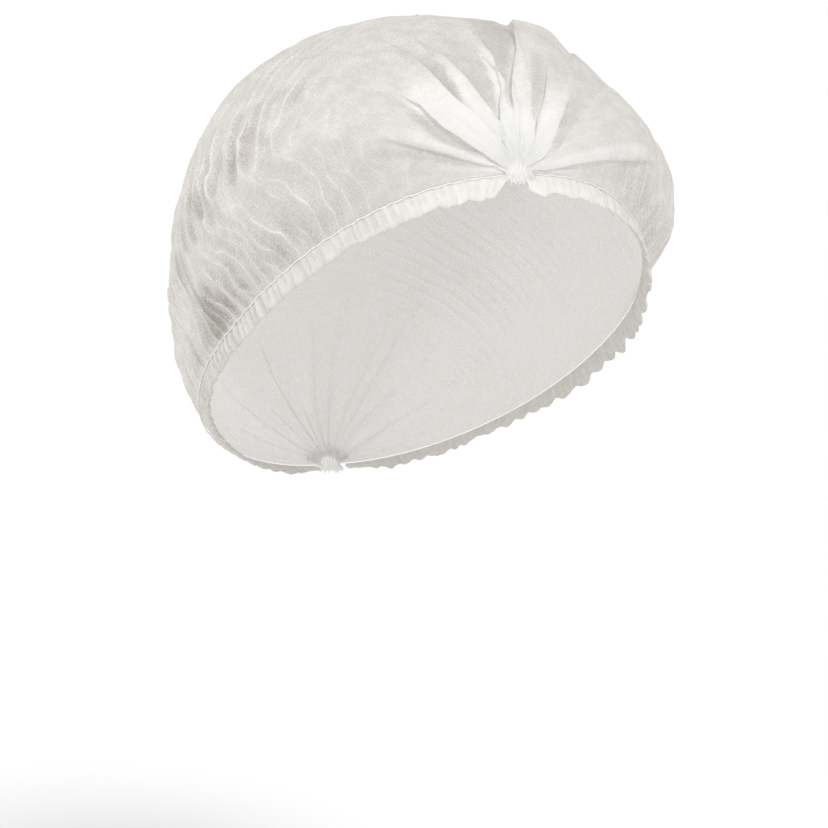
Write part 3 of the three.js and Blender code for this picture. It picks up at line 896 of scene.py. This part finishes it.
def make_hem(side, name, node):
    """The folded casing, its puckers and its uneven lower edge."""
    share = np.linspace(0, 1, HEM_ROWS)
    ring = np.arange(HEM_RING) / HEM_RING
    full = smooth(share / 0.03 + 0.5) * smooth((1 - share) / HEM_TAPER)
    seed = 50 if side > 0 else 60
    zero = np.zeros_like(share)
    place = share * HEM_LENGTH
    pucker_angle = 2 * np.pi * place / PUCKER_SPACING + 2.6 * field(seed, share, zero, 44, 2)
    ruffle_angle = 2 * np.pi * place / RUFFLE_SPACING + 3.0 * field(seed + 1, share, zero, 30, 2)
    height = HEM_HEIGHT * (HEM_END + (1 - HEM_END) * full)
    ragged = 2.2 if side > 0 else 1.2
    uneven = 0.05 * field(seed + 2, share, zero, 60, 2) + 0.04 * np.cos(ruffle_angle)
    height = height * (1 + ragged * uneven)
    firm = np.interp(share, HEM_FIRMNESS[:, 0], HEM_FIRMNESS[:, 1])
    firm = (firm * (0.75 + 0.45 * field(seed + 4, share, zero, 34, 2)))[:, None]
    curl = smooth((share - CURL_FROM) / (CURL_TO - CURL_FROM))
    lean = HEM_LEAN * curl
    # Ring places: down the outer wall, round the fold, and up the inner wall.
    turn = 2 * np.pi * ring
    down = 0.5 - 0.5 * np.cos(turn)
    thick = np.sin(turn) * (0.45 + 0.75 * down * (1 - 0.35 * down))
    down_g, share_g = np.meshgrid(down, share)
    thick_g = np.broadcast_to(thick, down_g.shape)
    slant = 2.2 * down_g
    pucker = np.cos(pucker_angle[:, None] + slant)
    small_shift = 4 * field(seed + 3, share_g, down_g, 40, 2)
    small = np.cos(2.1 * pucker_angle[:, None] - 1.4 * slant + small_shift)
    belly = np.sin(np.pi * np.clip(down_g * 1.05, 0, 1)) ** 0.7
    wave = np.cos(ruffle_angle[:, None] + 0.8 * down_g)
    away = thick_g * (1.0 + 0.35 * firm * pucker * belly)
    bulge = 0.6 * wave * down_g**1.3 + firm * (0.42 * pucker + 0.1 * small) * belly
    away = away + full[:, None] * bulge
    far = down_g * height[:, None]
    away = away - far * np.sin(lean)[:, None]
    # The front end is cut off at a slant.
    cut = (0.024 * down_g - 0.012 if side < 0 else -0.016) * (1 - smooth(share_g / 0.1))
    points, outs = rim_place(side, share_g + cut)
    points = points + outs * away[..., None]
    points[..., 2] -= far * np.cos(lean)[:, None] + 0.12 * pucker * down_g
    flat_down = thick_g * 0.002 + down_g * 0.01 + np.where(thick_g > 0, 0.0, 0.03)
    flat = np.stack([share_g * 0.52, flat_down], -1)
    # A painted highlight on the puckers' crests.
    crest = np.exp(-(1 - pucker) / 0.16) * belly * 0.5 * full[:, None] * firm
    # Painted shade in the puckers' troughs. The hem is also lighter at its tapered ends, towards the
    # front and along its top edge.
    pucker_shade = (0.2 if side > 0 else 0.4) * firm * (0.7 - 0.4 * pucker)
    layers_and_shading = 0.02 - pucker_shade + 0.3 * (1 - full[:, None])
    layers_and_shading = layers_and_shading + 0.45 * (1 - smooth(share_g / 0.28)) + 0.2 * np.exp(-down_g / 0.08)
    piece = make_piece(
        name,
        to_world(points),
        grid_quads(HEM_ROWS, HEM_RING, closed=True, flip=side > 0),
        hem_cloth,
        [("crest", crest), ("layers_and_shading", layers_and_shading)],
        flat,
    )
    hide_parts(node)
    return piece


def make_elastic(side, name, node):
    """The covered elastic, with the stitches that tie it down."""
    share = np.linspace(0, 1, CORD_ROWS)
    point, out = rim_place(side, share)
    seed = 70 if side > 0 else 80
    zero = np.zeros_like(share)
    along = share * HEM_LENGTH
    bead = 0.5 + 0.5 * np.cos(2 * np.pi * along / STITCH_SPACING)
    radius = CORD_RADIUS * (0.8 + 0.35 * bead)
    wave = 0.22 * np.sin(2 * np.pi * along / CORD_WAVE + 2 * field(seed, share, zero, 40, 2))
    turn = 2 * np.pi * np.arange(CORD_RING) / CORD_RING
    offset = 0.58 + 0.1 * field(seed + 1, share, zero, 60, 2)
    away = offset[:, None] + radius[:, None] * np.cos(turn)
    drop = -0.75 + wave[:, None] + radius[:, None] * np.sin(turn)
    points = point[:, None, :] + out[:, None, :] * away[..., None]
    points[..., 2] += drop
    flat = np.stack(np.broadcast_arrays(along[:, None] * MM * 3, turn[None, :] * MM), -1)
    piece = make_piece(
        name,
        to_world(points),
        grid_quads(CORD_ROWS, CORD_RING, closed=True, flip=side < 0),
        thread,
        [],
        flat,
    )
    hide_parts(node)
    return piece


def make_knot(name, node, end, seed):
    """The fused pleats, which fan up from the pinch, with a frayed edge below it."""
    rng = np.random.default_rng(seed)
    span = np.linspace(-1, 1, KNOT_WIDE)
    none = np.zeros_like(span)
    phase = np.pi * KNOT_PLEATS * span + 1.6 * field(seed, (span + 1) / 2, none, 8, 2)
    frays = np.interp(span, np.linspace(-1, 1, 61), rng.uniform(0, 1, 61)) ** 2
    reach = KNOT_REACH * (1 - 0.35 * span**2) + 0.8 * np.cos(phase)
    drop = KNOT_DROP - 1.0 * span**2 + 0.5 * np.cos(phase + 1) + 2.0 * frays
    step = np.linspace(0, 1, KNOT_STEPS)[:, None]
    run = -drop + (reach + drop) * step
    above = np.clip(run, 0, None)
    below = np.clip(-run, 0, None)
    fan = np.radians(90 - 60 * span)
    pleat = (0.5 + 0.5 * np.cos(phase)) ** 0.7
    folded = 0.24 * np.sin(phase + 0.6) * smooth(1.1 - above / reach)
    loose = 0.35 * field(seed + 2, (span + 1) / 2 + 0 * below, below / 6, 30, 3) * below
    x = KNOT_HALF_WIDTH * span * (0.8 + 0.2 * smooth(below / 3))
    x = x + np.cos(fan) * above + folded + 0.3 * loose
    z = np.sin(fan) * above - below
    lift = (0.45 + 0.6 * pleat) * smooth(1.05 - above / reach) + loose
    puffed = PUFFED * np.hypot(x, np.clip(z, 0, None)) ** 1.5
    surface = np.sqrt(np.maximum(RIM_HALF_LENGTH**2 - (x * 1.2) ** 2 - (z * 0.9) ** 2, 0))
    sunk = 1.2 * smooth((above / reach - 0.7) / 0.3)
    y = -(surface + lift + puffed - sunk - 0.2 * below)
    # A painted highlight on the pleats' crests.
    crest = 0.2 * np.exp(-(1 - np.cos(phase)) / 0.25) + 0 * x
    piece = make_piece(
        name,
        to_world(np.stack([x, y * end, z + 0.3 * HEM_HEIGHT], -1)),
        grid_quads(KNOT_STEPS, KNOT_WIDE, flip=end < 0),
        fused_cloth,
        [("crest", crest), ("layers_and_shading", 0.3 + 0 * x)],
        np.stack([run * MM * 1.5, (span * 9 + 0 * run) * MM], -1),
    )
    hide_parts(node)
    return piece


crown = make_crown()
hems = [make_hem(-1, "hem_casing_right", "hem_right"), make_hem(1, "hem_casing_left", "hem_left")]
cords = [
    make_elastic(-1, "elastic_thread_right", "elastic_right"),
    make_elastic(1, "elastic_thread_left", "elastic_left"),
]
knots = [
    make_knot("weld_knot_front", "weld_front", end=1, seed=5),
    make_knot("weld_knot_rear", "weld_rear", end=-1, seed=6),
]

# Floor, light and camera

FLOOR_Z = -0.32
FLOOR_HALF = 60.0
WORLD_LIGHT = 0.84


def make_floor():
    web = Web("pale floor")
    place = web.add("ShaderNodeTexCoord").outputs["Object"]
    shade = web.span(web.noise(place, 3.0, detail=3.0), 0.3, 0.7, 0.0, 1.0)
    front = web.add("ShaderNodeBsdfPrincipled")
    colour = web.mixed(shade, (0.775, 0.775, 0.775), (0.79, 0.79, 0.79))
    web.put(front.inputs["Base Color"], colour)
    front.inputs["Roughness"].default_value = 0.9
    front.inputs["Specular IOR Level"].default_value = 0.1
    mesh = bpy.data.meshes.new("floor")
    signs = ((-1, -1), (1, -1), (1, 1), (-1, 1))
    corners = [(x * FLOOR_HALF, y * FLOOR_HALF, FLOOR_Z) for x, y in signs]
    mesh.from_pydata(corners, [], [(0, 1, 2, 3)])
    mesh.materials.append(web.done(front.outputs[0]))
    floor = bpy.data.objects.new("floor", mesh)
    bpy.context.scene.collection.objects.link(floor)


def soft_sun(name, azimuth, elevation, spread, strength):
    """Soft light from far away, from the same azimuth and elevation as a camera there would have."""
    data = bpy.data.lights.new(name, "SUN")
    data.energy = strength
    data.angle = math.radians(spread)
    lamp = bpy.data.objects.new(name, data)
    bpy.context.scene.collection.objects.link(lamp)
    lamp.rotation_euler = (math.radians(90 - elevation), 0, math.radians(azimuth))


make_floor()
world = bpy.data.worlds.new("studio")
world.use_nodes = True
world.node_tree.nodes["Background"].inputs["Color"].default_value = (1, 1, 1, 1)
world.node_tree.nodes["Background"].inputs["Strength"].default_value = WORLD_LIGHT
bpy.context.scene.world = world
soft_sun("key", azimuth=-2, elevation=42, spread=14, strength=1.55)
soft_sun("fill", azimuth=-108, elevation=24, spread=40, strength=1.05)
bpy.context.scene.view_settings.view_transform = "Standard"

# The camera looks so that the front weld lies at PINCH_AT, in pixels of an image of IMAGE_SIDE.
AZIMUTH, ELEVATION = math.radians(-24.4), math.radians(8)
IMAGE_SIDE = 828
FOCAL = 3500
SENSOR = 36
PINCH = Vector((0, -0.0905, 0.0677))
PINCH_AT = (520, 180)
DISTANCE = 1.4

back = Vector(
    (
        math.sin(AZIMUTH) * math.cos(ELEVATION),
        -math.cos(AZIMUTH) * math.cos(ELEVATION),
        math.sin(ELEVATION),
    )
)
sideways = Vector((math.cos(AZIMUTH), math.sin(AZIMUTH), 0))
upward = back.cross(sideways)
depth = DISTANCE - PINCH.dot(back)
place = (
    PINCH
    - sideways * ((PINCH_AT[0] - IMAGE_SIDE / 2) / FOCAL * depth)
    - upward * ((IMAGE_SIDE / 2 - PINCH_AT[1]) / FOCAL * depth)
    + back * depth
)
camera = bpy.data.objects.new("camera", bpy.data.cameras.new("camera"))
bpy.context.scene.collection.objects.link(camera)
camera.data.sensor_width = SENSOR
camera.data.lens = FOCAL / IMAGE_SIDE * SENSOR
turn = Matrix((sideways, upward, back)).transposed().to_4x4()
camera.matrix_world = Matrix.Translation(place) @ turn
bpy.context.scene.camera = camera
